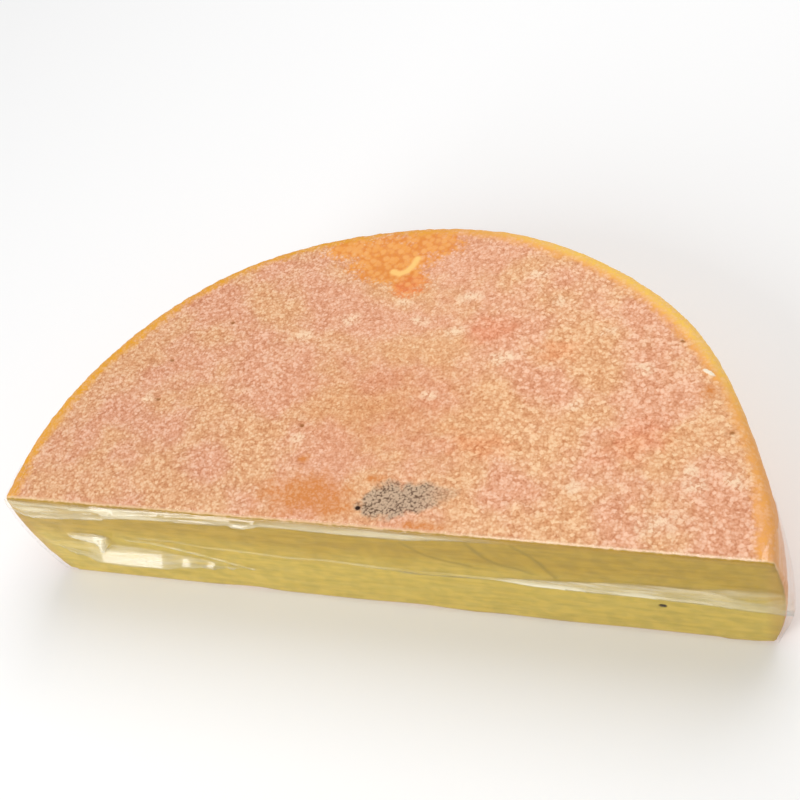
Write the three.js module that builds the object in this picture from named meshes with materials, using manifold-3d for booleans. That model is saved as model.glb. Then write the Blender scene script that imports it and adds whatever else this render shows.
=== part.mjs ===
// Half a wheel of washed-rind melting cheese, with clear film stretched over its cut face.
// Millimetres, +Z up: the wheel lies on its flat underside and the cut face looks along -Y.
import * as THREE from "three";
import { ImprovedNoise } from "three/addons/math/ImprovedNoise.js";
import { mergeVertices } from "three/addons/utils/BufferGeometryUtils.js";
import Module from "manifold-3d";

// Size of the wheel
const WHEEL_RADIUS = 165; // on the heel, at its fullest height
const THICKNESS = 66;
const HEEL_BULGE = 4.3; // how much further out the heel stands at mid height than at its edges
const TOP_SHOULDER = 4.5; // rounding between the heel and the top
const BOTTOM_SHOULDER = 5; // rounding between the heel and the underside

// Unevenness of the rim: degrees round the heel from its right end, and how far it stands out there
const RIM_OUTLINE = [[0, 0.6], [20, -2], [45, 1.8], [70, 1], [100, -2.4], [135, 0], [160, 0.9], [180, 0]];
const RIM_DEPTH = 40; // how far in from the heel that unevenness fades out

// Crust on the top and the heel: broad swells and smaller lumps
const SWELL_HEIGHT = 1.1;
const SWELL_SPAN = 55;
const LUMP_HEIGHT = 0.9;
const LUMP_SPAN = 17;
const CRUST_FADE = 14; // the lumps grow in over this distance from the cut
const CRUST_DEPTH = 18; // the top's relief fades out this far below it

// Bare hollow at the back of the top, where the crust has come away
const HOLLOW_CENTRE = new THREE.Vector2(-13, 137);
const HOLLOW_REACH = new THREE.Vector2(27, 19);
const HOLLOW_DEPTH = 1.3;

// Clear film: it laps over the top edge of the cut and round both ends of the heel
const FILM_GAP = 0.5;
const FILM_WALL = 0.4;
const FILM_LAP = 2.6;
const FILM_FOOT = 2.5; // height of its lower edge
const RIGHT_WRAP = THREE.MathUtils.degToRad(14);
const LEFT_WRAP = THREE.MathUtils.degToRad(6);

// Fold of the film: it starts at a point on the cut face and widens to a ledge at the right end
const FOLD_START = 40; // across the cut, from the wheel's axis
const FOLD_FOOT = 29; // height of the fold's lower crease
const FOLD_RISE = 19; // how far its upper border climbs by the right end
const FOLD_DEPTH = 4.5;
const FOLD_RETURN = 20; // the film is back against the cut this far below the crease

// Slack of the film: a blister low on the left of the cut, and a tent round the right end
const BLISTER_CENTRE = new THREE.Vector2(-116, 24);
const BLISTER_REACH = new THREE.Vector2(38, 19);
const BLISTER_DEPTH = 2.6;
const TENT_DEPTH = 2.4;

// Fineness of the facets
const HALF_TURN_STEPS = 92;
const SHOULDER_STEPS = 3;
const HEEL_STEPS = 8;
const TOP_STEPS = 24;
const FACE_STEPS = 46;
const RIGHT_WRAP_STEPS = 7;
const LEFT_WRAP_STEPS = 3;

const { clamp, degToRad, lerp, smoothstep } = THREE.MathUtils;
const wasm = await Module();
wasm.setup();

const noise = new ImprovedNoise();
const rimAngles = RIM_OUTLINE.map(([degrees]) => degToRad(degrees));
const rimOffsets = RIM_OUTLINE.map(([, offset]) => offset);
const rimOutline = new THREE.CubicInterpolant(rimAngles, rimOffsets, 1);

// How far the heel reaches from the wheel's axis at a height
function heelRadius(height) {
  const fromMiddle = (2 * height) / THICKNESS - 1;
  return WHEEL_RADIUS - HEEL_BULGE * fromMiddle ** 2;
}

const TOP_EDGE = heelRadius(THICKNESS - TOP_SHOULDER) - TOP_SHOULDER; // radius of the flat top
const BASE_EDGE = heelRadius(BOTTOM_SHOULDER) - BOTTOM_SHOULDER; // radius of the flat underside

// A quarter turn of a shoulder in section
function shoulder(edge, height, radius, start) {
  const curve = new THREE.EllipseCurve(edge, height, radius, radius, start, start + Math.PI / 2);
  return curve.getPoints(SHOULDER_STEPS);
}

// The side of the wheel in section, from the edge of the underside to the edge of the top
function sideSection() {
  const lower = shoulder(BASE_EDGE, BOTTOM_SHOULDER, BOTTOM_SHOULDER, -Math.PI / 2);
  const upper = shoulder(TOP_EDGE, THICKNESS - TOP_SHOULDER, TOP_SHOULDER, 0);
  const heel = [];
  for (let step = 1; step < HEEL_STEPS; step++) {
    const height = lerp(BOTTOM_SHOULDER, THICKNESS - TOP_SHOULDER, step / HEEL_STEPS);
    heel.push(new THREE.Vector2(heelRadius(height), height));
  }
  return [...lower, ...heel, ...upper];
}

// Height of a smooth round-topped mound inside an ellipse, from 0 at its edge to 1 at its centre
function mound(x, y, centre, reach) {
  const away = Math.hypot((x - centre.x) / reach.x, (y - centre.y) / reach.y);
  return 1 - smoothstep(away, 0, 1);
}

// Relief of the crust at a place on the wheel
function crust(point) {
  const swell = noise.noise(point.x / SWELL_SPAN, point.y / SWELL_SPAN, point.z / SWELL_SPAN);
  const lump = noise.noise(point.x / LUMP_SPAN, point.y / LUMP_SPAN, point.z / LUMP_SPAN);
  const fromCut = smoothstep(Math.abs(point.y), 0, CRUST_FADE);
  return SWELL_HEIGHT * swell + LUMP_HEIGHT * lump * fromCut;
}

// Moves a place on an ideal wheel to where the uneven one has it. The underside stays flat.
function weather(point) {
  const angle = Math.atan2(Math.abs(point.y), point.x);
  const radius = Math.hypot(point.x, point.y);
  const relief = crust(point);
  const onTop = smoothstep(point.z, THICKNESS - CRUST_DEPTH, THICKNESS);
  const onHeel = smoothstep(radius, WHEEL_RADIUS - RIM_DEPTH, WHEEL_RADIUS);
  const aboveBase = smoothstep(point.z, 0, CRUST_DEPTH);
  const [rim] = rimOutline.evaluate(angle);
  const outward = onHeel * (rim + relief * aboveBase * (1 - onTop));
  const hollow = HOLLOW_DEPTH * mound(point.x, point.y, HOLLOW_CENTRE, HOLLOW_REACH);
  const scale = radius > 0 ? (radius + outward) / radius : 1;
  return point.set(point.x * scale, point.y * scale, point.z + onTop * (relief - hollow));
}

// Moves every vertex of a geometry by a function of its place
function reshape(geometry, move) {
  const positions = geometry.getAttribute("position");
  const point = new THREE.Vector3();
  for (let index = 0; index < positions.count; index++) {
    point.fromBufferAttribute(positions, index);
    move(point);
    positions.setXYZ(index, point.x, point.y, point.z);
  }
  return geometry;
}

// The geometry with its shared vertices merged, so that it closes
function closed(geometry) {
  geometry.deleteAttribute("normal");
  geometry.deleteAttribute("uv");
  return mergeVertices(geometry);
}

function solidFrom(geometry) {
  const vertProperties = new Float32Array(geometry.getAttribute("position").array);
  const triVerts = new Uint32Array(geometry.index.array);
  return new wasm.Manifold(new wasm.Mesh({ numProp: 3, vertProperties, triVerts }));
}

function geometryFrom(solid) {
  const mesh = solid.getMesh();
  const geometry = new THREE.BufferGeometry();
  geometry.setAttribute("position", new THREE.BufferAttribute(mesh.vertProperties, mesh.numProp));
  geometry.setIndex(new THREE.BufferAttribute(mesh.triVerts, 1));
  geometry.computeVertexNormals();
  return geometry;
}

// The whole wheel, turned about +Z from its section
function wholeWheel() {
  const section = [new THREE.Vector2(0, 0), ...sideSection()];
  for (let step = 1; step <= TOP_STEPS; step++) {
    section.push(new THREE.Vector2(TOP_EDGE * (1 - step / TOP_STEPS), THICKNESS));
  }
  const halfStep = Math.PI / HALF_TURN_STEPS / 2;
  const turned = new THREE.LatheGeometry(section, 2 * HALF_TURN_STEPS, halfStep);
  turned.rotateX(Math.PI / 2);
  return reshape(closed(turned), weather);
}

// The wheel cut through its axis: everything in front of the cut is taken away
function halfWheel() {
  const side = 3 * WHEEL_RADIUS;
  const front = new THREE.BoxGeometry(side, side, side);
  front.translate(0, -side / 2, 0);
  return geometryFrom(solidFrom(wholeWheel()).subtract(solidFrom(closed(front))));
}

// How far the film stands off the cut: the fold's ledge on the right and the blister on the left
function standOff(x, height) {
  const along = clamp((x - FOLD_START) / (WHEEL_RADIUS - FOLD_START), 0, 1);
  const ledge = 1 - smoothstep(height, FOLD_FOOT, FOLD_FOOT + FOLD_RISE * along);
  const back = smoothstep(height, FOLD_FOOT - FOLD_RETURN, FOLD_FOOT);
  const fold = FOLD_DEPTH * along * Math.min(ledge, back);
  return fold + BLISTER_DEPTH * mound(x, height, BLISTER_CENTRE, BLISTER_REACH);
}

// How far the film stands off the heel round the right end
function tent(angle, height) {
  const tall = smoothstep(height, FILM_FOOT, THICKNESS / 2) * (1 - smoothstep(height, THICKNESS / 2, THICKNESS));
  return TENT_DEPTH * tall * (1 - smoothstep(angle, 0, RIGHT_WRAP));
}

// Rows of the film, from its edge on top of the wheel down to its lower edge
function filmRows() {
  const rows = [];
  for (const lap of [FILM_LAP, FILM_LAP / 2]) {
    rows.push({ radius: TOP_EDGE, height: THICKNESS, lap, tilt: Math.PI / 2 });
  }
  for (const { x: radius, y: height } of sideSection().reverse()) {
    const aboveHeel = Math.max(height - (THICKNESS - TOP_SHOULDER), 0) / TOP_SHOULDER;
    const belowHeel = Math.max(BOTTOM_SHOULDER - height, 0) / BOTTOM_SHOULDER;
    if (height >= FILM_FOOT) {
      rows.push({ radius, height, lap: 0, tilt: Math.asin(aboveHeel) - Math.asin(belowHeel) });
    }
  }
  return rows;
}

// Columns of the film, from its end on the right of the heel across the cut to its end on the left
function filmColumns() {
  const columns = [];
  for (let step = RIGHT_WRAP_STEPS; step > 0; step--) {
    columns.push({ angle: (RIGHT_WRAP * step) / RIGHT_WRAP_STEPS });
  }
  for (let step = 0; step <= FACE_STEPS; step++) {
    columns.push({ share: 1 - (2 * step) / FACE_STEPS });
  }
  for (let step = 1; step <= LEFT_WRAP_STEPS; step++) {
    columns.push({ angle: Math.PI - (LEFT_WRAP * step) / LEFT_WRAP_STEPS });
  }
  return columns;
}

// A place of the film over the heel
function overHeel({ angle }, { radius, height, lap, tilt }, offset) {
  const reach = radius - lap + offset * Math.cos(tilt) + tent(angle, height);
  const rise = height + offset * Math.sin(tilt);
  return new THREE.Vector3(reach * Math.cos(angle), reach * Math.sin(angle), rise);
}

// A place of the film over the cut, or on top of the wheel just behind the cut
function overCut({ share }, { radius, height, lap, tilt }, offset) {
  const rise = height + offset * Math.sin(tilt);
  if (lap > 0) {
    const reach = Math.sqrt((radius - lap) ** 2 - lap ** 2);
    return new THREE.Vector3(share * reach, lap, rise);
  }
  const loose = share > 0 ? tent(0, height) * share ** FACE_STEPS : 0;
  const x = share * (radius + offset * Math.cos(tilt) + loose);
  return new THREE.Vector3(x, -offset - standOff(x, height), rise);
}

// The film: a thin slab with a cell for each column and row, bent over the wheel's edges
function clearFilm() {
  const rows = filmRows();
  const columns = filmColumns();
  const across = columns.length - 1;
  const down = rows.length - 1;
  const slab = closed(new THREE.BoxGeometry(across, down, 1, across, down, 1));
  return reshape(slab, (point) => {
    const column = columns[Math.round(across / 2 - point.x)];
    const row = rows[Math.round(down / 2 - point.y)];
    const offset = point.z > 0 ? FILM_GAP + FILM_WALL : FILM_GAP;
    const place = "angle" in column ? overHeel(column, row, offset) : overCut(column, row, offset);
    point.copy(weather(place));
  });
}

function named(name, geometry, material) {
  const mesh = new THREE.Mesh(geometry, new THREE.MeshStandardMaterial(material));
  mesh.name = name;
  return mesh;
}

const wheel = new THREE.Group();
wheel.add(named("half_wheel", halfWheel(), { color: 0xe2ab82, roughness: 0.85, metalness: 0 }));
wheel.add(named("film", clearFilm(), {
  color: 0xf4efe0,
  roughness: 0.15,
  metalness: 0,
  transparent: true,
  opacity: 0.25,
}));

// The origin goes to the middle of the whole thing's footprint
const box = new THREE.Box3().setFromObject(wheel);
wheel.position.set(-(box.min.x + box.max.x) / 2, -(box.min.y + box.max.y) / 2, -box.min.z);

const halfWheelOfCheese = new THREE.Group();
halfWheelOfCheese.add(wheel);
export default halfWheelOfCheese;
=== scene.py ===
import math

import bmesh
import bpy
from mathutils import Matrix, Vector, noise


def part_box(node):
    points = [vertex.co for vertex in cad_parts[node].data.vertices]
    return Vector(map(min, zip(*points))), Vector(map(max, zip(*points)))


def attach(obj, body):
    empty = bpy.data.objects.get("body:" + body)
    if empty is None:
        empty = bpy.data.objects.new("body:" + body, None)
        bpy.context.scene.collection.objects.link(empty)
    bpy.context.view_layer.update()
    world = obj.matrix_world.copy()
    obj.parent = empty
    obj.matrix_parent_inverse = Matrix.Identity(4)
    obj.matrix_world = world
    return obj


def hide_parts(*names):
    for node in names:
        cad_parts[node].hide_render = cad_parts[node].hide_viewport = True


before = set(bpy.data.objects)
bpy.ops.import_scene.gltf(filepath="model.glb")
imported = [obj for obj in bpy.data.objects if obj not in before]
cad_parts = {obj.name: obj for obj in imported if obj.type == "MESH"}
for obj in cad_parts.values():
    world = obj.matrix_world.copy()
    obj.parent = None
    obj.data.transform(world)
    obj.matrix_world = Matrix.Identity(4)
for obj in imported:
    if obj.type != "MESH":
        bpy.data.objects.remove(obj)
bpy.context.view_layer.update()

# Looks of a raclette half wheel: grainy washed crust, golden paste, clear film over the cut.
# Shapes are worked out in millimetres from the wheel's axis at the cut, +Y into the wheel,
# and turned to the frame's metres when a piece is finished.
METRES = 0.001

# Size of the wheel
WHEEL_RADIUS = 165.0
THICKNESS = 66.0
HEEL_BULGE = 4.3
TOP_SHOULDER = 4.5
BOTTOM_SHOULDER = 5.0
RIM_OUTLINE = [(0, 0.6), (20, -2.0), (45, 1.8), (70, 1.0), (100, -2.4), (135, 0.0), (160, 0.9), (180, 0.0)]
RIM_DEPTH = 40.0

# Roundness of the cut's upper and lower edges, from the left end to the right end
UPPER_ROUND = [(-165, 2.0), (-60, 1.8), (40, 1.4), (165, 1.0)]
LOWER_ROUND = [
    (-165, 1.0), (-90, 1.2), (-63, 3.0), (-45, 1.0), (-20, 1.0), (15, 2.6), (40, 0.6), (50, 1.4),
    (81, 0.6), (108, 1.8), (138, 1.8), (144, 0.4), (150, 1.0), (165, 4.0),
]
END_ROUND = 2.0

# Fineness of the cheese's surface
TURN_STEPS = 180
SHOULDER_STEPS = 6
HEEL_STEPS = 16
VOXEL = 1.8
WELD = 0.001

# Crust relief: broad swells, lumps and single grains
SWELL_HEIGHT = 0.55
SWELL_SPAN = 55.0
LUMP_HEIGHT = 0.30
LUMP_SPAN = 5.0
GRAIN_HEIGHT = 0.22
GRAIN_SPAN = 2.6
GRAIN_REACH = 0.8  # of a span
CRUST_DEPTH = 18.0

# Marks on the top: centre x, centre y, reach along, reach across, turn in degrees
BARE_PATCHES = [
    (-16, 142, 30, 16, 0), (-17, 134, 25, 12, -12), (-4, 126, 12, 11, 0), (3, 150, 19, 10, -10),
    (-38, 146, 16, 8, 15),
]
BLUSH = (-2, 122, 15, 10, 20)
WARM_ZONE = (2, 58, 62, 38, 0)
HOLLOW = (-13, 137, 27, 19, 0)
HOLLOW_DEPTH = 1.3
SCRAPE = [(-13.0, 132.6), (-9.5, 131.2), (-6.3, 133.0), (-4.2, 136.5), (-3.0, 140.2)]
SCRAPE_WIDTH = 2.5
MOULD = [(13, 12.8, 13, 9.8, 8), (24, 15.0, 16, 8, 13), (33, 17.5, 12, 4.5, 13)]
MOULD_EYE = (2.6, 8.8, 1.5, 1.3, 0)
STAINS = [(-21, 13, 30, 15, 0), (-9, 10, 14, 10, 0), (6, 23, 6, 3, 10), (-27, 30, 4, 3, 0),
          (30, 3.2, 14, 3, 0), (132.5, 72.5, 5, 4, 40)]
ROSY_SPOTS = [(39, 100, 17, 11, 20), (46, 42, 18, 10, 0), (108, 48, 22, 12, 30), (70, 90, 14, 9, 0)]
CREAM_SPOTS = [
    (-3, 114, 6, 3, 0), (27, 118, 8, 5, 30), (24, 98, 7, 5, 20), (48, 85, 10, 5, 10), (106, 82, 6, 5, 0),
    (81, 63, 5, 4, 30), (129, 36, 5, 4, 0), (119, 12, 11, 6, 20), (-110, 55, 5, 3, 0), (-33, 40, 5, 4, 0),
    (6, 104, 6, 4, 0), (-26, 104, 7, 5, 20), (-45, 94, 6, 4, 0), (145, 33, 5, 5, 0), (90, 101, 6, 4, 30),
    (66, 117, 7, 4, 10), (20, 65, 6, 4, 0), (86, 25, 6, 4, 0), (55, 131, 7, 4, 0), (132, 30, 8, 5, 30),
]
PITS = [(-106, 77.5), (-32.5, 46.4), (-82.6, 99.8), (-105, 55.8), (119.9, 97.1), (142.6, 53.9)]
PIT_REACH = 1.5
PIT_DEPTH = 0.9
FLAKE = (131.5, 81.6, 3.6, 1.1, -32)
FLAKE_HEIGHT = 0.8

# Marks on the cut, as x and height; the eye hole is an ellipse as above
EYE_HOLE = (119.5, 23.7, 1.5, 1.3, 0)
EYE_DEPTH = 2.4
CUT_SKIN = 1.0  # what lies nearer to the cut than this takes the eye hole
# Hairline cracks in the paste, whose dark colour is painted shade
CRACK_CURVES = [
    [(47.5, 60.4), (52.6, 50.2), (57.9, 45.5), (64.2, 43.9), (70.4, 40.4)],
    [(65.8, 61.5), (70.9, 55.9), (74.7, 49.8), (77.5, 42.6), (79.4, 39.3)],
    [(20.0, 57.0), (27.0, 48.5), (36.0, 44.5), (46.0, 42.0)],
]

# Clear film: gap to the cheese, lap over the top edge, and its ends round the heel
FILM_GAP = 0.45
FILM_WALL = 0.12
FILM_LAP = 1.4
FILM_FOOT = 2.5
RIGHT_WRAP = math.radians(14)
LEFT_WRAP = math.radians(6)
RIGHT_DROP = 20.0
TENT_DEPTH = 2.4
TENT_FADE = 40  # the larger, the nearer to the right end the tent over the cut stays
FILM_COLUMNS = 430
FILM_ROWS = 105

# Ledges of the film where it leaves the cut and folds back under itself.
# Each station is x, then the heights of the crease and of where it leaves, the depth and the haze, which is
# partly the haze of folded film and partly a painted highlight where the film glints.
TOP_LEDGE = [
    (-163, Vector((58.0, 66.0, 0.2, 0.10))),
    (-150, Vector((58.8, 66.0, 3.6, 0.24))),
    (-120, Vector((60.6, 66.0, 3.3, 0.30))),
    (-97, Vector((62.0, 66.0, 2.5, 0.24))),
    (-42, Vector((63.3, 66.0, 1.7, 0.12))),
    (21, Vector((63.1, 66.0, 1.8, 0.20))),
    (45, Vector((64.3, 66.0, 1.0, 0.15))),
    (75, Vector((65.0, 66.0, 0.0, 0.0))),
]
MID_FOLD = [
    (-20, Vector((35.0, 36.5, 0.0, 0.0))),
    (30, Vector((33.9, 35.9, 1.2, 0.08))),
    (50, Vector((34.3, 35.5, 0.7, 0.18))),
    (75, Vector((34.3, 37.4, 1.9, 0.48))),
    (110, Vector((36.4, 41.6, 3.1, 0.36))),
    (131, Vector((36.8, 42.8, 3.6, 0.18))),
    (155, Vector((38.2, 46.6, 5.1, 0.10))),
    (168, Vector((32.8, 44.0, 2.6, 0.06))),
]
LOW_PLEAT = [
    (-157, Vector((27.0, 33.0, 0.0, 0.02))),
    (-140, Vector((25.0, 33.5, 3.4, 0.05))),
    (-128, Vector((24.4, 33.6, 6.2, 0.12))),
    (-117, Vector((24.2, 33.0, 6.2, 0.16))),
    (-100, Vector((23.8, 31.6, 5.8, 0.17))),
    (-88, Vector((23.1, 28.4, 3.9, 0.12))),
    (-75, Vector((22.9, 26.0, 2.3, 0.08))),
    (-60, Vector((21.2, 21.8, 0.0, 0.05))),
]
SMALL_TUCK = [
    (-144, Vector((38.0, 39.6, 0.0, 0.0))),
    (-138, Vector((37.6, 40.2, 2.0, 0.25))),
    (-128, Vector((37.0, 40.6, 3.0, 0.40))),
    (-124, Vector((33.5, 40.4, 5.6, 0.40))),
    (-121.5, Vector((36.0, 40.0, 0.0, 0.0))),
]
LEDGES = [TOP_LEDGE, MID_FOLD, LOW_PLEAT, SMALL_TUCK]
LEDGE_CURVE = 1.35
FOLD_BACK = 0.75
LEAST_FOLD = 0.001

# Thin creases of the film: x and height along them, then their height and half width
CREASES = [
    ([(-104, 40.5), (-88, 40.9), (-74, 38.3), (-56, 37.5)], 0.55, 1.1),
    ([(-56, 37.5), (-36, 35.7), (-21, 36.6), (2, 35.7), (23, 34.6)], 0.4, 1.1),
    ([(-112, 38.2), (-100, 37.6), (-88, 34.0), (-75, 29.5), (-56, 21.8)], 0.9, 1.1),
    ([(-82, 18.5), (-78, 22.0), (-74, 22.5)], 0.8, 1.0),
    ([(-67, 21.5), (-65, 21.5)], 1.0, 1.2),
    ([(-127, 64.2), (-117, 64.8), (-108, 63.6)], 1.1, 1.3),
    ([(-112, 63.0), (-98, 63.8), (-84, 64.4)], 1.0, 1.1),
    ([(-148, 58.6), (-130, 60.0), (-112, 61.4)], 0.7, 1.2),
    ([(-82, 64.2), (-67, 65.0), (-52, 64.8), (-42, 64.0)], 1.0, 1.0),
    ([(-76, 62.8), (-60, 63.2), (-44, 63.6)], 0.8, 0.9),
    ([(-50, 63.8), (-40, 63.9)], 1.1, 1.4),
]
# Whitening along the creases: partly haze, partly a painted highlight for their bright lines
CREASE_HAZE_AND_HIGHLIGHT = 0.22
CRINKLE_HEIGHT = 0.36
CRINKLE_SPAN = Vector((13.0, 5.0))
CRINKLE_SLICE = 3.7  # where the crinkles' noise is cut

# The photograph's camera, from the wheel's axis at the cut
CAMERA_AZIMUTH = math.radians(31.779)
CAMERA_ELEVATION = math.radians(51.064)
CAMERA_ROLL = math.radians(-22.952)
CAMERA_DISTANCE = 603.06
CAMERA_TARGET = Vector((-20.451, 106.929, 0.0))
FOCAL_PIXELS = 1242.72
IMAGE_SIDE = 800
SENSOR = 36.0

# The axis of the wheel in the frame
wheel_low, wheel_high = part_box("half_wheel")
AXIS = Vector((wheel_high.x - (WHEEL_RADIUS + RIM_OUTLINE[0][1]) * METRES, wheel_low.y, 0.0))
TO_FRAME = Matrix.Translation(AXIS) @ Matrix.Scale(METRES, 4)


def smooth(value, low, high):
    """0 below low, 1 above high, eased between."""
    share = min(max((value - low) / (high - low), 0.0), 1.0)
    return share * share * (3 - 2 * share)


def along(stations, position):
    """The value between two stations of a list, eased from one to the next."""
    for (start, first), (end, second) in zip(stations, stations[1:]):
        if position <= end:
            return first + (second - first) * smooth(position, start, end)
    return stations[-1][1]


def away(x, y, ellipse):
    """Distance from the middle of a turned ellipse, 1 on its edge."""
    centre_x, centre_y, reach_along, reach_across, turn = ellipse
    offset = Matrix.Rotation(math.radians(-turn), 2) @ Vector((x - centre_x, y - centre_y))
    return math.hypot(offset.x / reach_along, offset.y / reach_across)


def gap_to_line(place, points):
    """Distance from a flat place to a line of points."""
    gaps = []
    for start, end in zip(points, points[1:]):
        start = Vector(start)
        run = Vector(end) - start
        share = min(max((place - start).dot(run) / run.length_squared, 0.0), 1.0)
        gaps.append((place - start - run * share).length)
    return min(gaps)


def heel_radius(height):
    """How far the heel reaches from the axis at a height."""
    return WHEEL_RADIUS - HEEL_BULGE * (2 * height / THICKNESS - 1) ** 2


TOP_EDGE = heel_radius(THICKNESS - TOP_SHOULDER) - TOP_SHOULDER
BASE_EDGE = heel_radius(BOTTOM_SHOULDER) - BOTTOM_SHOULDER


def side_radius(height):
    """The heel's reach with the roundings at its foot and its top."""
    above = height - (THICKNESS - TOP_SHOULDER)
    below = BOTTOM_SHOULDER - height
    if above > 0:
        return TOP_EDGE + math.sqrt(max(TOP_SHOULDER**2 - above**2, 0.0))
    if below > 0:
        return BASE_EDGE + math.sqrt(max(BOTTOM_SHOULDER**2 - below**2, 0.0))
    return heel_radius(height)


def weather(place):
    """Moves a place on an even wheel to where the uneven wheel has it."""
    radius = math.hypot(place.x, place.y)
    angle = math.degrees(math.atan2(abs(place.y), place.x))
    near_rim = smooth(radius, WHEEL_RADIUS - RIM_DEPTH, WHEEL_RADIUS)
    scale = 1 + along(RIM_OUTLINE, angle) * near_rim / max(radius, 1.0)
    on_top = smooth(place.z, THICKNESS - CRUST_DEPTH, THICKNESS)
    swell = SWELL_HEIGHT * noise.noise(place / SWELL_SPAN)
    hollow = HOLLOW_DEPTH * (1 - smooth(away(place.x, place.y, HOLLOW), 0, 1))
    return Vector((place.x * scale, place.y * scale, place.z + on_top * (swell - hollow)))


def finished(bm, name, finish):
    """A piece from a bmesh in millimetres, placed in the frame and riding on it."""
    mesh = bpy.data.meshes.new(name)
    bm.to_mesh(mesh)
    bm.free()
    mesh.transform(TO_FRAME)
    mesh.materials.append(finish)
    mesh.shade_smooth()
    piece = bpy.data.objects.new(name, mesh)
    bpy.context.scene.collection.objects.link(piece)
    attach(piece, "root")
    return piece


# The cheese


def wheel_section():
    """The wheel's outline in section, from the axis underneath to the axis on top."""
    outline = [(0.0, 0.0)]
    for step in range(SHOULDER_STEPS + 1):
        turn = math.pi / 2 * step / SHOULDER_STEPS
        outline.append((
            BASE_EDGE + BOTTOM_SHOULDER * math.sin(turn),
            BOTTOM_SHOULDER * (1 - math.cos(turn)),
        ))
    for step in range(1, HEEL_STEPS):
        height = BOTTOM_SHOULDER + (THICKNESS - TOP_SHOULDER - BOTTOM_SHOULDER) * step / HEEL_STEPS
        outline.append((heel_radius(height), height))
    for step in range(SHOULDER_STEPS + 1):
        turn = math.pi / 2 * step / SHOULDER_STEPS
        outline.append((
            TOP_EDGE + TOP_SHOULDER * math.cos(turn),
            THICKNESS - TOP_SHOULDER * (1 - math.sin(turn)),
        ))
    return outline + [(0.0, THICKNESS)]


def turned_half():
    """Half a turn of the section, closed by the cut."""
    bm = bmesh.new()
    section = [bm.verts.new((radius, 0, height)) for radius, height in wheel_section()]
    edges = [bm.edges.new(pair) for pair in zip(section, section[1:])]
    bmesh.ops.spin(
        bm, geom=section + edges, cent=(0, 0, 0), axis=(0, 0, 1), angle=math.pi, steps=TURN_STEPS
    )
    bmesh.ops.remove_doubles(bm, verts=bm.verts, dist=WELD)
    bmesh.ops.contextual_create(bm, geom=[edge for edge in bm.edges if edge.is_boundary])
    bmesh.ops.recalc_face_normals(bm, faces=bm.faces)
    return bm


def even_faces(bm, size):
    """The same body in square faces of one size."""
    rough = bpy.data.objects.new("rough", bpy.data.meshes.new("rough"))
    bm.to_mesh(rough.data)
    bm.clear()
    bpy.context.scene.collection.objects.link(rough)
    remesh = rough.modifiers.new("even faces", "REMESH")
    remesh.mode = "VOXEL"
    remesh.voxel_size = size
    shown = rough.evaluated_get(bpy.context.evaluated_depsgraph_get())
    bm.from_mesh(shown.data)
    bpy.data.objects.remove(rough)
    return bm


def split(bm, wanted):
    """Halves the edges of the faces that are wanted."""
    edges = {edge for face in bm.faces if wanted(face) for edge in face.edges}
    bmesh.ops.subdivide_edges(bm, edges=list(edges), cuts=1, use_grid_fill=True)
    bm.normal_update()


def rounded(place, radius, edge_height, side):
    """Pulls a place in to the rounding of an edge of the cut: side 1 is the upper one, -1 the lower."""
    forward = radius - place.y
    outward = side * (place.z - edge_height) + radius
    reach = math.hypot(forward, outward)
    if forward <= 0 or outward <= 0 or reach <= radius:
        return place
    pull = radius / reach
    return Vector((place.x, radius - forward * pull, edge_height + side * (outward * pull - radius)))


def even_end(place, normal):
    """Brings the cut's two upright edges, which the square faces leave stepped, to one rounding."""
    reach = side_radius(place.z)
    forward = END_ROUND - place.y
    outward = END_ROUND - reach + math.hypot(place.x, place.y)
    if forward <= 0 or outward <= 0:
        return place
    even = END_ROUND / math.hypot(forward, outward)
    inward = END_ROUND - forward * even
    radius = reach - END_ROUND + outward * even
    x = math.copysign(math.sqrt(radius**2 - inward**2), place.x)
    upright = 1 - smooth(abs(normal.z), 0.4, 0.8)
    return place.lerp(Vector((x, inward, place.z)), upright)


def soft_cut_edges(place, normal):
    """Rounds the cut's edges."""
    place = even_end(place, normal)
    place = rounded(place, along(UPPER_ROUND, place.x), THICKNESS, 1)
    return rounded(place, along(LOWER_ROUND, place.x), 0.0, -1)


def bareness(place):
    """How much of the crust is missing at a place on the top."""
    bare = 1 - smooth(min(away(place.x, place.y, patch) for patch in BARE_PATCHES), 0.6, 1.0)
    stain = 0.5 * (1 - smooth(away(place.x, place.y, STAINS[0]), 0.3, 1.0))
    return max(bare, stain)


def grain_at(place):
    """A rounded grain of crust, from 0 between grains to 1 on top of one."""
    nearest = noise.voronoi(place / GRAIN_SPAN)[0][0]
    return 1 - min(nearest / GRAIN_REACH, 1.0) ** 2


def top_marks(place):
    """Height of the pits and of the flake."""
    height = FLAKE_HEIGHT * (1 - smooth(away(place.x, place.y, FLAKE), 0.6, 1.0))
    for x, y in PITS:
        height -= PIT_DEPTH * (1 - smooth(math.hypot(place.x - x, place.y - y), 0.2 * PIT_REACH, PIT_REACH))
    return height


def roughen(bm):
    """Gives the crust its lumps and grains, the top its pits and the cut its eye hole."""
    for vertex in bm.verts:
        place = vertex.co.copy()
        crust = smooth(place.y, 0.3, 1.6) * smooth(place.z, 0.5, 5.0)
        covered = crust * (1 - bareness(place) * smooth(place.z, THICKNESS / 2, THICKNESS))
        lump = LUMP_HEIGHT * noise.noise(place / LUMP_SPAN)
        height = covered * (lump + GRAIN_HEIGHT * (grain_at(place) - 0.5))
        if place.z > THICKNESS - TOP_SHOULDER:
            height += top_marks(place)
        sunk = Vector((0, 0, 0))
        if place.y < CUT_SKIN:
            sunk.y = EYE_DEPTH * (1 - smooth(away(place.x, place.z, EYE_HOLE), 0.5, 1.1))
        vertex.co = weather(soft_cut_edges(place, vertex.normal)) + vertex.normal * height + sunk
    return bm


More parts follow.
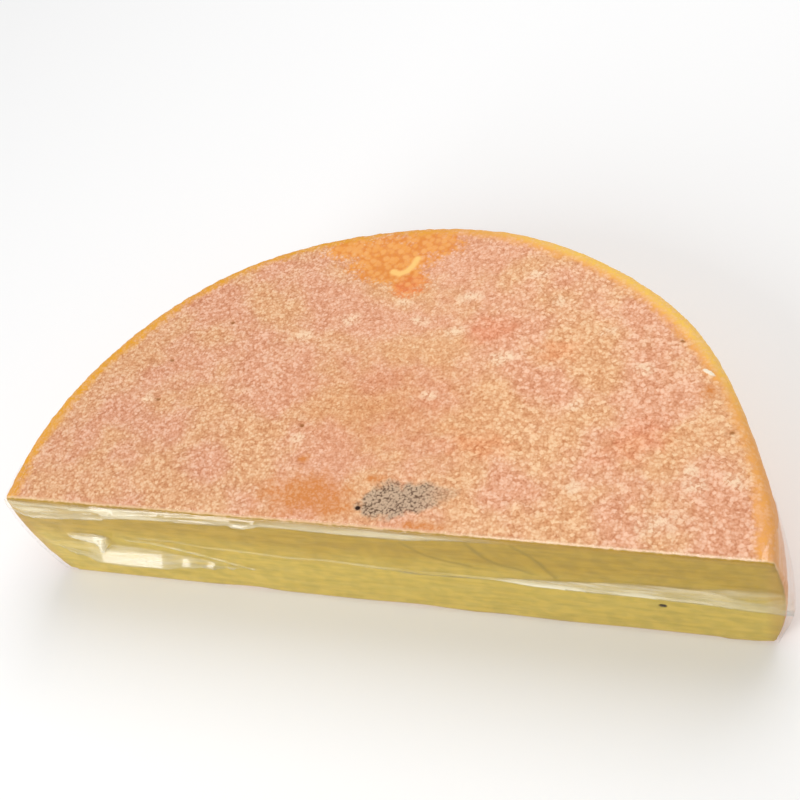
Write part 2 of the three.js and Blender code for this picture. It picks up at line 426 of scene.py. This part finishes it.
def on_top(face):
    return face.normal.z > 0.6 and face.calc_center_median().z > THICKNESS / 2


def near_eye_hole(face):
    middle = face.calc_center_median()
    return middle.y < CUT_SKIN and away(middle.x, middle.z, EYE_HOLE) < 3


def half_wheel(finish):
    bm = even_faces(turned_half(), VOXEL)
    bm.normal_update()
    split(bm, on_top)
    split(bm, near_eye_hole)
    split(bm, near_eye_hole)
    roughen(bm)
    bmesh.ops.triangulate(bm, faces=[face for face in bm.faces if len(face.verts) > 4])
    piece = finished(bm, "cheese", finish)
    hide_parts("half_wheel")
    return piece


# The film


def ledge(stations, x, height):
    """How far the film stands off the cut at one of its ledges, and its haze there, which is partly a
    painted highlight.
    """
    crease, leaves, depth, haze_and_highlight = along(stations, x)
    if height >= crease:
        share = min(max((leaves - height) / (leaves - crease), 0.0), 1.0)
        return depth * share**LEDGE_CURVE, haze_and_highlight * smooth(share, 0.0, 0.25)
    under = max(FOLD_BACK * depth, LEAST_FOLD)
    return depth * smooth(height, crease - under, crease), 0.0


def stand_off(x, height):
    """How far the film stands off the cut, and its haze, which is partly a painted highlight."""
    found = [ledge(stations, x, height) for stations in LEDGES]
    loose = max(depth for depth, haze_and_highlight in found)
    haze_and_highlight = max(haze_and_highlight for depth, haze_and_highlight in found)
    for points, rise, width in CREASES:
        near = max(1 - gap_to_line(Vector((x, height)), points) / width, 0.0)
        loose += rise * near
        haze_and_highlight = max(haze_and_highlight, CREASE_HAZE_AND_HIGHLIGHT * rise * near)
    crinkle = noise.noise(Vector((x / CRINKLE_SPAN.x, CRINKLE_SLICE, height / CRINKLE_SPAN.y)))
    return loose + CRINKLE_HEIGHT * (0.5 + 0.5 * crinkle), haze_and_highlight


def tent(angle, height):
    """How far the film stands off the heel round the right end."""
    middle = THICKNESS / 2
    tall = smooth(height, FILM_FOOT, middle) * (1 - smooth(height, middle, THICKNESS))
    return TENT_DEPTH * tall * (1 - smooth(angle, 0, RIGHT_WRAP))


def film_section(down):
    """Lap, radius, height and outward tilt of the film at a distance down from its upper edge."""
    if down < FILM_LAP:
        return FILM_LAP - down, TOP_EDGE, THICKNESS, math.pi / 2
    down -= FILM_LAP
    tilt = math.pi / 2 - down / TOP_SHOULDER
    if tilt > 0:
        radius = TOP_EDGE + TOP_SHOULDER * math.cos(tilt)
        return 0.0, radius, THICKNESS - TOP_SHOULDER * (1 - math.sin(tilt)), tilt
    height = THICKNESS - TOP_SHOULDER - (down - TOP_SHOULDER * math.pi / 2)
    return 0.0, side_radius(height), height, 0.0


FILM_DROP = FILM_LAP + TOP_SHOULDER * math.pi / 2 + THICKNESS - TOP_SHOULDER - FILM_FOOT
FILM_LENGTH = WHEEL_RADIUS * (RIGHT_WRAP + 2 + LEFT_WRAP)


def film_place(run, down):
    """A place of the film, run along it from its right end and down from its upper edge, and its haze,
    partly a painted highlight.
    """
    share = 1 - (run - WHEEL_RADIUS * RIGHT_WRAP) / WHEEL_RADIUS
    lowered = RIGHT_DROP * smooth(share, 1.0, 1.0 + RIGHT_WRAP)
    lap, radius, height, tilt = film_section(lowered + down * (1 - lowered / FILM_DROP))
    rise = height + FILM_GAP * math.sin(tilt)
    if abs(share) > 1:
        angle = (abs(share) - 1) if share > 0 else math.pi - (abs(share) - 1)
        reach = radius - lap + FILM_GAP * math.cos(tilt) + tent(angle, height)
        return Vector((reach * math.cos(angle), reach * math.sin(angle), rise)), 0.0
    if lap > 0:
        return Vector((share * math.sqrt((radius - lap) ** 2 - lap**2), lap, rise)), 0.0
    loose = tent(0, height) * max(share, 0) ** TENT_FADE
    x = share * (radius + FILM_GAP * math.cos(tilt) + loose)
    depth, haze_and_highlight = stand_off(x, height)
    return Vector((x, -FILM_GAP - depth, rise)), haze_and_highlight


def film_over_cut(finish):
    bm = bmesh.new()
    bmesh.ops.create_grid(bm, x_segments=FILM_COLUMNS, y_segments=FILM_ROWS, size=0.5)
    haze_and_highlight_layer = bm.verts.layers.float.new("haze_and_highlight")
    for vertex in bm.verts:
        run = FILM_LENGTH * (0.5 + vertex.co.x)
        down = FILM_DROP * (0.5 - vertex.co.y)
        place, vertex[haze_and_highlight_layer] = film_place(run, down)
        vertex.co = weather(place)
    bmesh.ops.reverse_faces(bm, faces=bm.faces)
    piece = finished(bm, "clear_film", finish)
    wall = piece.modifiers.new("wall", "SOLIDIFY")
    wall.thickness = FILM_WALL * METRES
    wall.offset = 1.0
    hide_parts("film")
    return piece


# Finishes


class Wire:
    """A value on its way through a finish. Operators on numbers add Math nodes."""

    def __init__(self, finish, socket):
        self.finish = finish
        self.socket = socket

    def math(self, operation, first, second=0.0):
        return self.finish.node("ShaderNodeMath", {"operation": operation}, {0: first, 1: second})

    def __add__(self, other):
        return self.math("ADD", self, other)

    def __radd__(self, other):
        return self.math("ADD", other, self)

    def __sub__(self, other):
        return self.math("SUBTRACT", self, other)

    def __rsub__(self, other):
        return self.math("SUBTRACT", other, self)

    def __mul__(self, other):
        return self.math("MULTIPLY", self, other)

    def __rmul__(self, other):
        return self.math("MULTIPLY", other, self)

    def __pow__(self, other):
        return self.math("POWER", self, other)

    def most(self, other):
        return self.math("MAXIMUM", self, other)

    def least(self, other):
        return self.math("MINIMUM", self, other)


ANY_HEIGHT = 1e6  # so large a reach that height makes no difference


class Finish:
    """A material being put together from nodes."""

    def __init__(self, name):
        self.material = bpy.data.materials.new(name)
        self.material.use_nodes = True
        self.tree = self.material.node_tree
        self.tree.nodes.clear()

    def node(self, kind, settings=(), inputs=(), output=0):
        """Adds a node: its settings first, then the values or links of its sockets."""
        node = self.tree.nodes.new(kind)
        for key, value in dict(settings).items():
            setattr(node, key, value)
        for key, value in dict(inputs).items():
            if isinstance(value, Wire):
                self.tree.links.new(value.socket, node.inputs[key])
            else:
                node.inputs[key].default_value = value
        return Wire(self, node.outputs[output]) if len(node.outputs) else None

    def ramp(self, value, low, high):
        """0 below low, 1 above high, eased between."""
        return self.node(
            "ShaderNodeMapRange",
            {"interpolation_type": "SMOOTHSTEP"},
            {"Value": value, "From Min": low, "From Max": high},
        )

    def mix(self, share, first, second):
        """A colour between two, by share."""
        colours = [c if isinstance(c, Wire) else (*c, 1.0) for c in (first, second)]
        return self.node(
            "ShaderNodeMix", {"data_type": "RGBA"}, {0: share, 6: colours[0], 7: colours[1]}, output=2
        )

    def tint(self, share, colour, by):
        """A colour multiplied by another, by share."""
        return self.node(
            "ShaderNodeMix",
            {"data_type": "RGBA", "blend_type": "MULTIPLY"},
            {0: share, 6: colour, 7: (*by, 1.0)},
            output=2,
        )

    def vector(self, operation, first, second=(0, 0, 0)):
        """Vector Math on one or two vectors."""
        output = 1 if operation in ("DOT_PRODUCT", "DISTANCE", "LENGTH") else 0
        return self.node("ShaderNodeVectorMath", {"operation": operation}, {0: first, 1: second}, output)

    def cloud(self, place, span, detail=2.0):
        """Soft noise with blotches about one span wide."""
        inputs = {"Vector": place, "Scale": 1.0 / span, "Detail": detail}
        return self.node("ShaderNodeTexNoise", {}, inputs)

    def cells(self, place, span):
        """Rounded grains about one span wide: 1 on a grain and 0 between, and a number for each grain."""
        distance = self.node("ShaderNodeTexVoronoi", {}, {"Vector": place, "Scale": 1.0 / span})
        colour = Wire(self, distance.socket.node.outputs["Color"])
        return 1 - self.ramp(distance, 0.2, 0.85), self.axes(colour)[0]

    def wheel_place(self):
        """Object coordinates as millimetres from the wheel's axis at the cut."""
        place = self.node("ShaderNodeTexCoord", output=3)
        moved = self.vector("SUBTRACT", place, tuple(AXIS))
        return self.vector("MULTIPLY", moved, (1 / METRES,) * 3)

    def axes(self, place):
        """The three numbers of a vector, which for a place are across, inward and height."""
        outputs = self.node("ShaderNodeSeparateXYZ", {}, {0: place}).socket.node.outputs
        return tuple(Wire(self, socket) for socket in outputs)

    def away(self, place, ellipse):
        """Distance from the middle of a turned ellipse seen from above, 1 on its edge."""
        centre_x, centre_y, reach_along, reach_across, turn = ellipse
        inside = self.node("ShaderNodeMapping", {"vector_type": "TEXTURE"}, {
            "Vector": place,
            "Location": (centre_x, centre_y, 0),
            "Rotation": (0, 0, math.radians(turn)),
            "Scale": (reach_along, reach_across, ANY_HEIGHT),
        })
        return self.vector("LENGTH", inside)

    def spots(self, place, ellipses, ragged=0.0, soft=0.5):
        """1 inside any of several ellipses, with a ragged edge if noise is given."""
        nearest = self.away(place, ellipses[0])
        for ellipse in ellipses[1:]:
            nearest = nearest.least(self.away(place, ellipse))
        return 1 - self.ramp(nearest + ragged, 1 - soft, 1.0)

    def spot(self, place, ellipse, ragged=0.0, soft=0.5):
        """1 inside one ellipse."""
        return self.spots(place, [ellipse], ragged, soft)

    def stroke(self, place, points, width, soft=0.6):
        """1 on a line of points seen from above, as wide as twice the width."""
        flat = self.vector("MULTIPLY", place, (1, 1, 0))
        nearest = None
        for start, end in zip(points, points[1:]):
            run = Vector((*end, 0)) - Vector((*start, 0))
            offset = self.vector("SUBTRACT", flat, (*start, 0))
            share = self.vector("DOT_PRODUCT", offset, tuple(run / run.length_squared))
            share = share.most(0.0).least(1.0)
            scaled = {0: tuple(run), "Scale": share}
            reached = self.node("ShaderNodeVectorMath", {"operation": "SCALE"}, scaled)
            gap = self.vector("DISTANCE", offset, reached)
            nearest = gap if nearest is None else nearest.least(gap)
        return 1 - self.ramp(nearest, width * (1 - soft), width)

    def surface(self, shader):
        """Makes a shader the material's surface."""
        self.node("ShaderNodeOutputMaterial", {}, {"Surface": shader})
        return self.material


# Colours of the crust and the paste
CRUST_GAP = (0.60, 0.25, 0.115)
CRUST_MID = (0.80, 0.42, 0.235)
CRUST_GRAIN = (0.96, 0.64, 0.42)
STAIN = (0.67, 0.24, 0.065)
BARE = (0.85, 0.34, 0.070)
BARE_RED = (0.84, 0.24, 0.075)
BARE_PALE = (0.93, 0.50, 0.19)
SCRAPED = (0.97, 0.58, 0.19)
RIM_ORANGE = (0.88, 0.40, 0.10)
RIM_YELLOW = (0.95, 0.58, 0.11)
RIM_GOLD = (0.79, 0.36, 0.022)
EDGE_CREAM = (0.92, 0.66, 0.36)
CREAM = (0.97, 0.72, 0.49)
# Dark brown for the painted shade in the crust's pits
PIT_SHADE = (0.34, 0.13, 0.03)
MOULD_PALE = (0.57, 0.41, 0.28)
MOULD_DARK = (0.09, 0.055, 0.035)
# Near black: painted shade inside the eye hole, and the real black dot in the mould
HOLE_SHADE_AND_MOULD_BLACK = (0.03, 0.012, 0.006)
# Near white for the painted highlight on the raised flake
FLAKE_HIGHLIGHT = (0.97, 0.85, 0.66)
PASTE_LOW = (0.64, 0.46, 0.072)
PASTE_HIGH = (0.495, 0.308, 0.018)
PASTE_EDGE = (0.46, 0.24, 0.03)
# Dark olive for the painted shade in the paste's hairline cracks
CRACK_SHADE = (0.30, 0.20, 0.012)

# Colours of the film's haze, which is partly a painted highlight, of what is clear or plain white, and of
# the floor, with their alpha
VEIL_AND_HIGHLIGHT = (0.95, 0.87, 0.64, 1)
WHITE = (1, 1, 1, 1)
FLOOR_GREY = (0.96, 0.96, 0.96, 1)

# Tints, which multiply the colour under them
ROSY = (1.0, 0.93, 0.98)
TAWNY = (1.0, 1.0, 0.90)
LEFT_SHADE = (0.90, 0.88, 0.90)
WARM = (0.94, 0.84, 0.75)
ROSY_SPOT_TINT = (1.0, 0.84, 0.78)
WAX_GAP_TINT = (0.90, 0.76, 0.66)
DRAG_TINT = (0.87, 0.86, 0.76)
MOTTLE_TINT = (0.87, 0.89, 0.85)

# Widths of the crust's grains and of its noise
FINE_GRAIN = 1.35
COARSE_GRAIN = 1.6
WAX_BLOB = 2.8
MOULD_FUZZ = 1.05
GRAIN_BEND_SPAN = 2.2
SPECK_SPAN = 1.0
RAGGED_SPAN = 5.0
CLUMP_SPAN = 7.0
ZONE_SPAN = 32.0

# Sheen of the cheese, and the relief of the crust's specks
CRUST_ROUGHNESS = 0.86
WAX_SHEEN = 0.34
PASTE_SHEEN = 0.36
CHEESE_SPECULAR = 0.15
SPECK_RELIEF = 0.8
SPECK_STRENGTH = 0.5
WAX_SMOOTHING = 0.75

# The rim's bare band: its width on the top, how uneven it is and how much of it shows low on the heel
RIM_BAND = 2.6
RIM_SWELL_SPAN = 12.0
RIM_RAGGED = 6.0
HEEL_SHOW = 0.45

# Widths of the marks in the paste
DRAG_SPAN = 2.2
MOTTLE_SPAN = 6.0
WANDER_SPAN = 9.0
PASTE_ZONE_SPAN = 26.0
CURVE_WIDTH = 1.8

# Gloss and haze of the film, whose streaks are drawn out along it; the haze on folds, creases and streaks
# is partly a painted highlight
FILM_ROUGHNESS = 0.13
MIRROR_HEAD_ON = 0.025
MIRROR_AT_EDGE = 0.5
MIRROR_POWER = 7.0
HAZE_ALL_OVER = 0.003
HAZE_AND_HIGHLIGHT_BETWEEN_STREAKS = 0.4
HAZE_AND_HIGHLIGHT_OF_STREAKS = 1.35
STREAK_DRAW = (0.06, 0.3, 1.0)
STREAK_SPAN = 2.4


def rim_colour(f, place):
    """The rim's bare band: how much of it shows, and its colour."""
    x, y, z = f.axes(place)
    radius = (x * x + y * y) ** 0.5
    angle = f.node("ShaderNodeMath", {"operation": "ARCTAN2"}, {0: y, 1: x})
    right = 1 - f.ramp(angle, 1.0, 2.0)
    swells = f.cloud(place, RIM_SWELL_SPAN) - 0.5
    crumbs = f.cloud(place, GRAIN_SPAN) - 0.5
    uneven = swells * RIM_RAGGED + crumbs * RIM_RAGGED
    inner = TOP_EDGE - RIM_BAND
    on_heel = HEEL_SHOW + (1 - HEEL_SHOW) * f.ramp(z, 42, 60)
    band = f.ramp(radius + uneven - inner, -2.0, 3.0) * on_heel
    yellow = f.ramp(angle, 0.30, 0.60) * (1 - f.ramp(angle, 1.15, 1.55))
    outer = f.ramp(radius - inner, 0.5, 5.0)
    return band, f.mix(yellow * outer, f.mix(right, RIM_GOLD, RIM_ORANGE), RIM_YELLOW)


def crust_colour(f, place):
    """The washed crust with its stains, spots and mould: its colour, how waxy it is and its specks."""
    x, y, z = f.axes(place)
    top = f.ramp(z, THICKNESS - 12, THICKNESS - 4)
    bend = {"Vector": place, "Scale": 1 / GRAIN_BEND_SPAN, "Detail": 1.0}
    bent = f.node("ShaderNodeTexNoise", {}, bend, output=1)
    warped = f.vector("ADD", place, bent)

    # Grains, finer on the left, with darker gaps and paler crowns
    fine, fine_tone = f.cells(warped, FINE_GRAIN)
    coarse, coarse_tone = f.cells(warped, COARSE_GRAIN)
    share = f.ramp(x, -60, 70)
    grain = fine + (coarse - fine) * share
    tone = fine_tone + (coarse_tone - fine_tone) * share
    clump = f.cloud(place, CLUMP_SPAN, 3.0)
    speck = f.cloud(place, SPECK_SPAN, 3.0)
    cover = 0.12 + 0.4 * grain + 1.5 * (speck - 0.5) + 0.3 * (clump - 0.5) + 0.75 * (tone - 0.5)
    colour = f.mix(f.ramp(cover, -0.42, 0.36), CRUST_GAP, CRUST_MID)
    colour = f.mix(f.ramp(cover, 0.15, 0.95), colour, CRUST_GRAIN)
    zone = f.cloud(place, ZONE_SPAN, 3.0)
    colour = f.tint(f.ramp(zone, 0.42, 0.62), colour, ROSY)
    colour = f.tint(1 - f.ramp(zone, 0.38, 0.56), colour, TAWNY)
    colour = f.tint(1 - f.ramp(x, -150, 90), colour, LEFT_SHADE)
    grainy = f.ramp(cover, -0.1, 0.6)

    # Rosy, warm, stained and cream spots
    ragged = (f.cloud(place, RAGGED_SPAN, 4.0) - 0.5) * 1.3
    rosy = f.spots(place, ROSY_SPOTS, ragged, 0.9) * top
    colour = f.tint(rosy, colour, ROSY_SPOT_TINT)
    colour = f.tint(f.spot(place, WARM_ZONE, ragged, 1.0), colour, WARM)
    stain = f.spots(place, STAINS, ragged, 0.8) * top
    colour = f.mix(stain * (1.0 - 0.4 * grainy), colour, STAIN)
    cream = f.spots(place, CREAM_SPOTS, ragged, 0.9) * top
    colour = f.mix(cream * (0.15 + 0.65 * grainy), colour, CREAM)

    # The bare waxen patch and its scrape
    crumbs = ragged * 0.6 + (grain - 0.4) * 0.35
    bare = f.spots(place, BARE_PATCHES, crumbs, 0.5) * top
    blush = f.spot(place, BLUSH, ragged, 1.0)
    blobs, blob_tone = f.cells(warped, WAX_BLOB)
    waxen = f.mix(blush, BARE, BARE_RED)
    waxen = f.tint(1 - f.ramp(blobs + 1.2 * (clump - 0.5), 0.1, 0.8), waxen, WAX_GAP_TINT)
    waxen = f.mix(0.4 * blob_tone * blobs, waxen, BARE_PALE)
    colour = f.mix(bare * (1.0 - 0.12 * grainy), colour, waxen)
    scrape = f.stroke(place, SCRAPE, SCRAPE_WIDTH, 0.75) * top
    colour = f.mix(scrape, colour, SCRAPED)

    # The rim and the lip at the cut
    band, rim = rim_colour(f, place)
    colour = f.mix(band * (1.0 - 0.35 * grainy), colour, rim)
    lip = (1 - f.ramp(y + (speck - 0.5) * 2.0, 0.6, 2.0)) * top
    colour = f.mix(lip * 0.7, colour, EDGE_CREAM)

    # Mould, the painted shade in the pits, and the flake with its painted highlight
    mould = f.spots(place, MOULD, ragged * 0.7, 0.35) * top
    fuzz, fuzz_tone = f.cells(warped, MOULD_FUZZ)
    fuzz = f.ramp(0.75 * fuzz + 0.5 * (fuzz_tone - 0.5) + 1.4 * (speck - 0.5), -0.2, 0.65)
    fading = mould * (0.92 - 0.7 * f.ramp(x, 24, 44))
    colour = f.mix(fading, colour, f.mix(fuzz, MOULD_DARK, MOULD_PALE))
    colour = f.mix(f.spot(place, MOULD_EYE) * top, colour, HOLE_SHADE_AND_MOULD_BLACK)
    pit_ellipses = [(pit_x, pit_y, PIT_REACH, 0.8 * PIT_REACH, 0) for pit_x, pit_y in PITS]
    # The pits are painted dark brown, a painted shade in these hollows.
    pit_shade = f.spots(place, pit_ellipses, soft=0.7) * top
    colour = f.mix(pit_shade * 0.8, colour, PIT_SHADE)
    # The raised flake is painted near white, a painted highlight on it.
    colour = f.mix(f.spot(place, FLAKE, soft=0.4) * top, colour, FLAKE_HIGHLIGHT)
    waxy = bare.most(band).most(0.6 * stain) * (1 - 0.5 * grainy)
    return colour, waxy, speck


def paste_colour(f, place):
    """The cut paste, golden, darker under the crust, with drag lines and the painted shade of its hairline
    cracks: its colour and the painted shade of its eye hole.
    """
    x, y, z = f.axes(place)
    upright = f.node("ShaderNodeCombineXYZ", {}, {"X": x, "Y": z})
    zone = f.cloud(place, PASTE_ZONE_SPAN)
    high = f.ramp(z + (zone - 0.5) * 20.0, 28.0, 50.0)
    colour = f.mix(high, PASTE_LOW, PASTE_HIGH)
    drag = f.cloud(f.vector("MULTIPLY", place, (0.1, 0.0, 1.0)), DRAG_SPAN, 4.0)
    colour = f.tint(f.ramp(drag, 0.42, 0.66), colour, DRAG_TINT)
    mottle = f.cloud(place, MOTTLE_SPAN, 4.0)
    colour = f.tint(f.ramp(mottle, 0.40, 0.60), colour, MOTTLE_TINT)
    edge = f.ramp(z, THICKNESS - 5, THICKNESS - 0.5).most(1 - f.ramp(z, 0.3, 2.5))
    edge = edge.most(f.ramp((x * x) ** 0.5, WHEEL_RADIUS - 8, WHEEL_RADIUS - 3))
    colour = f.mix(edge * 0.45, colour, PASTE_EDGE)
    wander = f.cloud(place, WANDER_SPAN, 3.0)
    # The hairline cracks are painted dark olive, a painted shade inside them, with no relief.
    for curve in CRACK_CURVES:
        crack_shade = f.stroke(upright, curve, CURVE_WIDTH, 1.0)
        colour = f.mix(crack_shade * (0.25 + 0.8 * wander), colour, CRACK_SHADE)
    centre_x, height, along_reach, tall_reach, turn = EYE_HOLE
    dark = (centre_x, height, 1.2 * along_reach, 1.2 * tall_reach, turn)
    return colour, f.spot(upright, dark, soft=0.25) * (1 - f.ramp(y, 4.0, 5.0))


def cheese_finish():
    """Dry grainy crust, waxen where it is bare, and smooth paste on the cut."""
    f = Finish("washed_crust_and_paste")
    place = f.wheel_place()
    inward, height = f.axes(place)[1:]
    crust, waxy, specks = crust_colour(f, place)
    near_top = f.ramp(height, THICKNESS - 10, THICKNESS - 3)
    ragged_edge = (f.cloud(place, COARSE_GRAIN, 3.0) - 0.5) * 1.2 * near_top
    cut = 1 - f.ramp(inward + ragged_edge, 0.35, 1.0)
    paste, hole_shade = paste_colour(f, place)
    # The eye hole is painted near black, a painted shade inside the hole.
    colour = f.mix(hole_shade, f.mix(cut, crust, paste), HOLE_SHADE_AND_MOULD_BLACK)
    roughness = CRUST_ROUGHNESS - WAX_SHEEN * waxy * (1 - cut) - PASTE_SHEEN * cut
    strength = SPECK_STRENGTH * (1 - cut) * (1 - WAX_SMOOTHING * waxy)
    relief = {"Strength": strength, "Distance": SPECK_RELIEF * METRES, "Height": specks}
    bump = f.node("ShaderNodeBump", {}, relief)
    shader = f.node("ShaderNodeBsdfPrincipled", {}, {
        "Base Color": colour,
        "Roughness": roughness,
        "Normal": bump,
        "Specular IOR Level": CHEESE_SPECULAR,
    })
    return f.surface(shader)


def film_finish():
    """Clear film: see-through, with a clean reflection and some haze where it is folded, partly a painted
    highlight where it glints.
    """
    f = Finish("clear_film")
    place = f.wheel_place()
    facing = f.node("ShaderNodeLayerWeight", {}, {"Blend": 0.5}, output=1)
    mirror = MIRROR_HEAD_ON + MIRROR_AT_EDGE * facing**MIRROR_POWER
    drawn_out = f.vector("MULTIPLY", place, STREAK_DRAW)
    streaks = f.ramp(f.cloud(drawn_out, STREAK_SPAN, 3.0), 0.38, 0.64)
    folds_and_highlights = f.node("ShaderNodeAttribute", {"attribute_name": "haze_and_highlight"}, output=2)
    # Folds, creases and streaks take a pale veil: partly the film's haze, partly a painted highlight where
    # it glints.
    haze_and_highlight = HAZE_ALL_OVER + folds_and_highlights * (HAZE_AND_HIGHLIGHT_BETWEEN_STREAKS + HAZE_AND_HIGHLIGHT_OF_STREAKS * streaks)
    clear = f.node("ShaderNodeBsdfTransparent", {}, {"Color": WHITE})
    veil_and_highlight = f.node("ShaderNodeBsdfPrincipled", {}, {"Base Color": VEIL_AND_HIGHLIGHT, "Roughness": 0.5})
    gloss = f.node("ShaderNodeBsdfGlossy", {}, {"Color": WHITE, "Roughness": FILM_ROUGHNESS})
    hazy_and_highlit = f.node("ShaderNodeMixShader", {}, {0: haze_and_highlight, 1: clear, 2: veil_and_highlight})
    return f.surface(f.node("ShaderNodeMixShader", {}, {0: mirror, 1: hazy_and_highlit, 2: gloss}))


def floor_finish():
    f = Finish("pale_floor")
    shader = f.node("ShaderNodeBsdfPrincipled", {}, {"Base Color": FLOOR_GREY, "Roughness": 0.7})
    return f.surface(shader)


# Studio, in metres
FLOOR_SIDE = 8.0
LIGHT_TARGET = Vector((0, 0, 0.03))
SKY_STRENGTH = 0.45


def floor_plane():
    bm = bmesh.new()
    bmesh.ops.create_grid(bm, x_segments=1, y_segments=1, size=FLOOR_SIDE / 2)
    mesh = bpy.data.meshes.new("floor")
    bm.to_mesh(mesh)
    bm.free()
    mesh.materials.append(floor_finish())
    floor = bpy.data.objects.new("floor", mesh)
    bpy.context.scene.collection.objects.link(floor)


def towards(azimuth, elevation):
    """The direction at an azimuth from the front, turning to the right, and an elevation."""
    return Vector((
        math.sin(azimuth) * math.cos(elevation),
        -math.cos(azimuth) * math.cos(elevation),
        math.sin(elevation),
    ))


def aimed(place, target):
    """A matrix at a place whose -Z looks at a target."""
    turn = (target - place).to_track_quat("-Z", "Y")
    return Matrix.LocRotScale(place, turn, None)


def soft_box(name, azimuth, elevation, distance, width, height, radiance):
    """A rectangular light that looks at the cheese, given as bright as it is seen."""
    lamp = bpy.data.lights.new(name, "AREA")
    lamp.shape = "RECTANGLE"
    lamp.size = width
    lamp.size_y = height
    lamp.energy = radiance * math.pi * width * height
    light = bpy.data.objects.new(name, lamp)
    direction = towards(math.radians(azimuth), math.radians(elevation))
    light.matrix_world = aimed(direction * distance, LIGHT_TARGET)
    bpy.context.scene.collection.objects.link(light)


def studio_light():
    world = bpy.data.worlds.new("studio")
    world.use_nodes = True
    sky = world.node_tree.nodes["Background"].inputs
    sky["Color"].default_value = WHITE
    sky["Strength"].default_value = SKY_STRENGTH
    bpy.context.scene.world = world
    soft_box("overhead", azimuth=165, elevation=62, distance=1.4, width=1.0, height=1.0, radiance=3.0)
    soft_box("window", azimuth=-30, elevation=28, distance=1.3, width=0.32, height=1.05, radiance=8.5)


def photo_camera():
    back = towards(CAMERA_AZIMUTH, CAMERA_ELEVATION)
    right = Vector((0, 0, 1)).cross(back).normalized()
    up = back.cross(right)
    turned_right = right * math.cos(CAMERA_ROLL) + up * math.sin(CAMERA_ROLL)
    turned_up = up * math.cos(CAMERA_ROLL) - right * math.sin(CAMERA_ROLL)
    lens = bpy.data.cameras.new("photo")
    lens.sensor_width = SENSOR
    lens.lens = SENSOR * FOCAL_PIXELS / IMAGE_SIDE
    lens.clip_start = 0.01
    camera = bpy.data.objects.new("photo", lens)
    place = AXIS + (CAMERA_TARGET + back * CAMERA_DISTANCE) * METRES
    turn = Matrix((turned_right, turned_up, back)).transposed()
    camera.matrix_world = Matrix.LocRotScale(place, turn.to_quaternion(), None)
    bpy.context.scene.collection.objects.link(camera)
    bpy.context.scene.camera = camera


photo_camera()
cheese = half_wheel(cheese_finish())
film_over_cut(film_finish())
floor_plane()
studio_light()
bpy.context.scene.view_settings.view_transform = "Standard"
